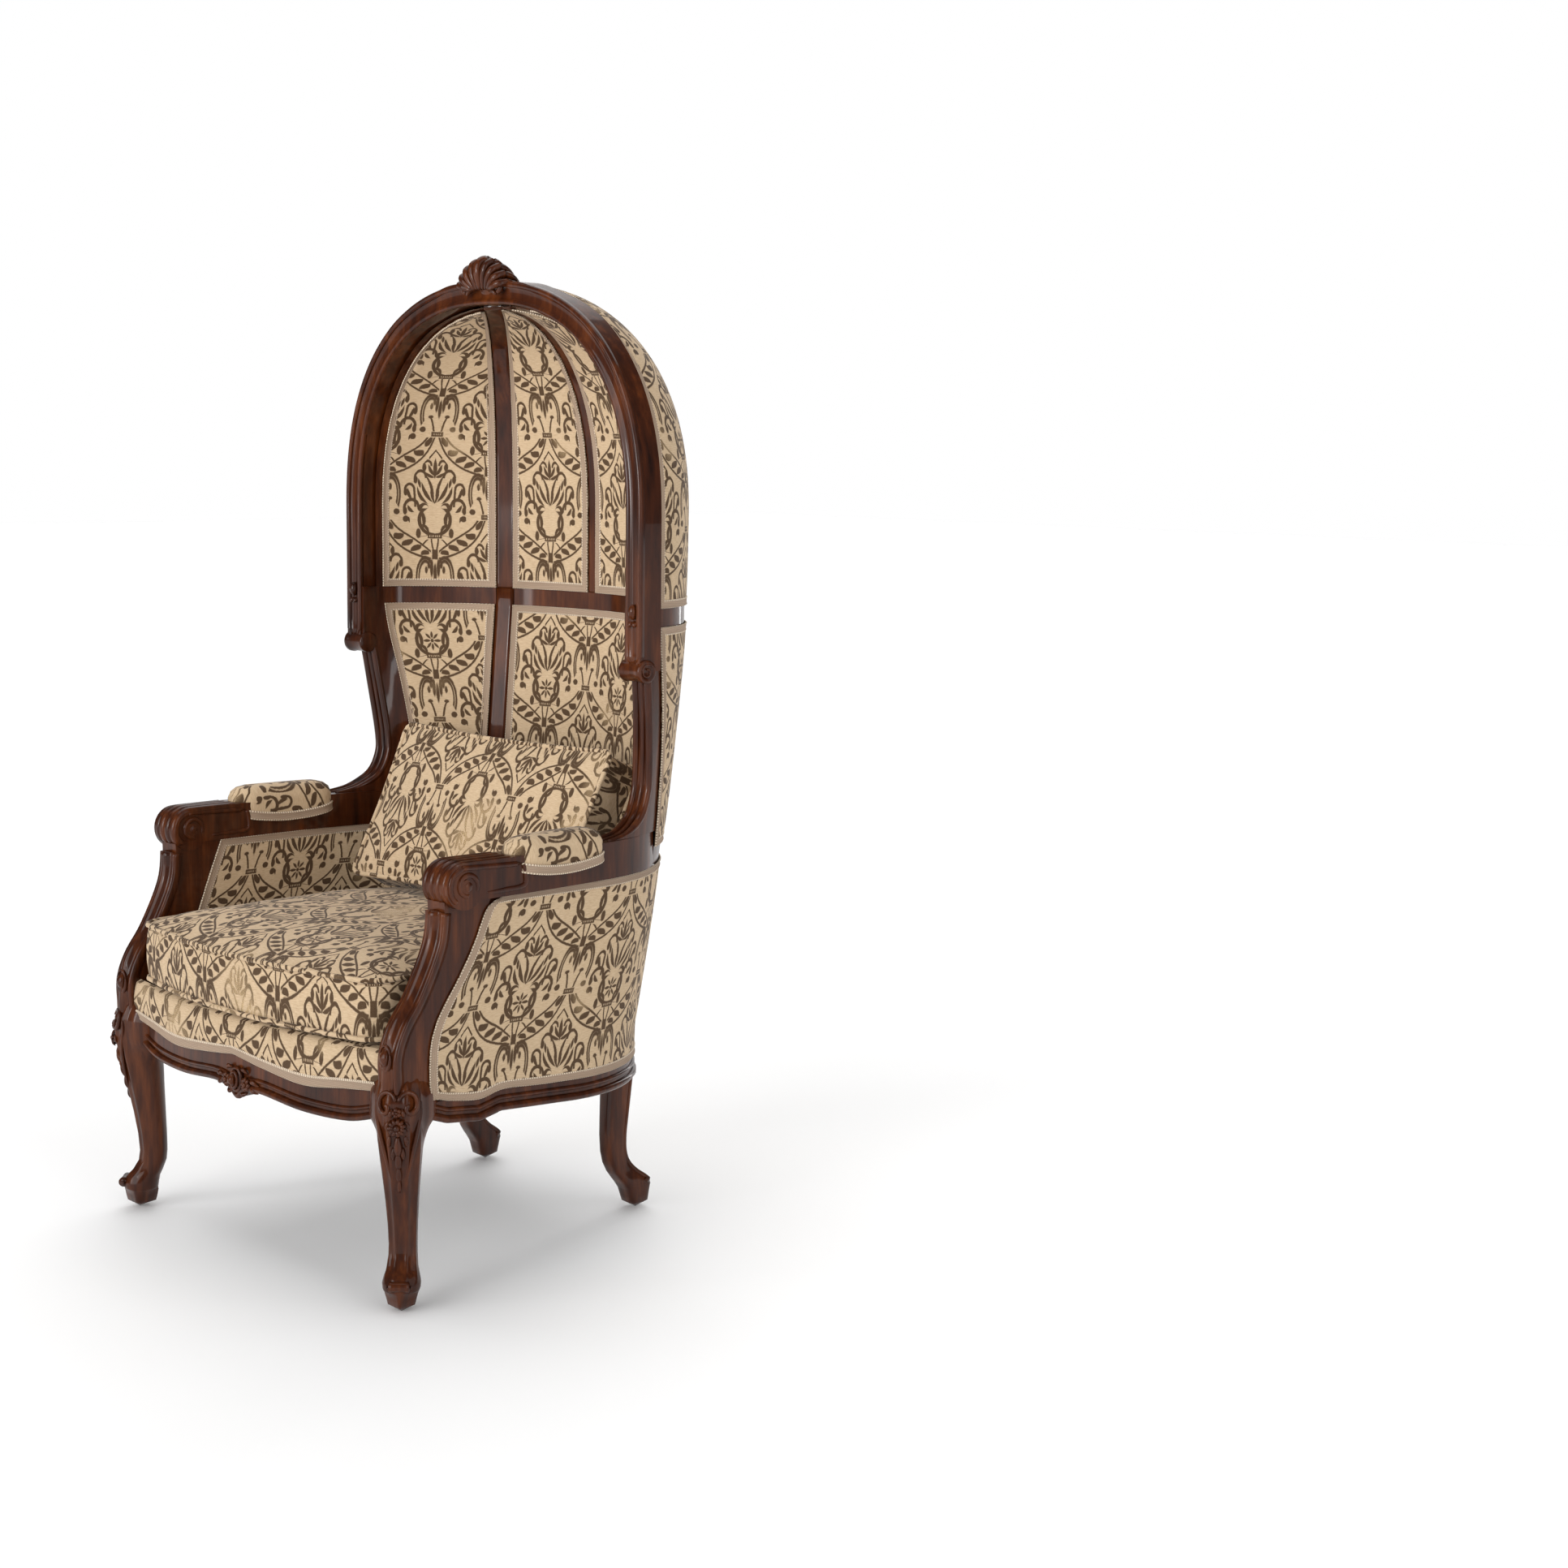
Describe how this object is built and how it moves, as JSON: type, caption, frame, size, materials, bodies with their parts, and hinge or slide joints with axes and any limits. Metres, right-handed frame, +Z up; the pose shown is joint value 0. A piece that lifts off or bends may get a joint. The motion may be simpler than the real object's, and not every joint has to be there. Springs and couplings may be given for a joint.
{
  "type": "hall porter chair",
  "caption": "Hooded porter chair with cabriole legs, carved show wood, damask panels, a loose seat cushion and a loose back pillow.",
  "frame": {"origin": "on the floor, below the middle of the chair's box", "axes": "+Z up, the front faces -Y, +X is the viewer's right seen from the front"},
  "size_m": [0.824, 0.7994, 1.6157],
  "materials": {
    "show_wood": "gloss lacquer",
    "inner_wood": "raw",
    "damask": "woven",
    "stuffing": "matte",
    "webbing": "woven",
    "dust_cloth": "matte",
    "screw_steel": "plain"
  },
  "bodies": {
    "chair_frame": {"apron_boss": "show_wood", "arch_crown_left": "show_wood", "arch_crown_right": "show_wood", "arch_stile_left": "show_wood", "arch_stile_right": "show_wood", "arm_cores": "stuffing", "arm_cover_left": "damask", "arm_cover_right": "damask", "arm_lining_left": "damask", "arm_lining_right": "damask", "arm_pad_left": "damask", "arm_pad_right": "damask", "arm_rail_left": "show_wood", "arm_rail_right": "show_wood", "arm_support_left": "show_wood", "arm_support_right": "show_wood", "armrest_left": "show_wood", "armrest_right": "show_wood", "back_core": "stuffing", "back_cover": "damask", "back_leg_left": "show_wood", "back_leg_right": "show_wood", "back_lining": "damask", "back_seat_rail": "show_wood", "block_screws": "screw_steel", "corner_blocks": "inner_wood", "crest_carving": "show_wood", "dust_cover": "dust_cloth", "front_border": "damask", "front_leg_left": "show_wood", "front_leg_right": "show_wood", "front_seat_rail": "show_wood", "hood_back_cores": "stuffing", "hood_back_cover_left": "damask", "hood_back_cover_right": "damask", "hood_back_lining_left": "damask", "hood_back_lining_right": "damask", "hood_centre_rib": "show_wood", "hood_corner_rib_left": "show_wood", "hood_corner_rib_right": "show_wood", "hood_side_cores": "stuffing", "hood_side_cover_left": "damask", "hood_side_cover_right": "damask", "hood_side_lining_left": "damask", "hood_side_lining_right": "damask", "joint_dowels": "inner_wood", "middle_rail_back": "show_wood", "middle_rail_left": "show_wood", "middle_rail_right": "show_wood", "seat_deck_pad": "stuffing", "seat_webbing": "webbing", "side_seat_rail_left": "show_wood", "side_seat_rail_right": "show_wood", "wing_cores": "stuffing", "wing_cover_left": "damask", "wing_cover_right": "damask", "wing_lining_left": "damask", "wing_lining_right": "damask"},
    "seat_cushion_body": {"seat_cushion": "damask"},
    "back_pillow_body": {"back_pillow": "damask"}
  },
  "joints": [
    {"name": "cushion_lift", "type": "slide", "parent": "chair_frame", "child": "seat_cushion_body", "axis": [0, -0.9397, 0.3419], "range_m": [0, 0.7]},
    {"name": "pillow_lift", "type": "slide", "parent": "seat_cushion_body", "child": "back_pillow_body", "axis": [0, -0.8, 0.6], "range_m": [0, 0.5]}
  ]
}
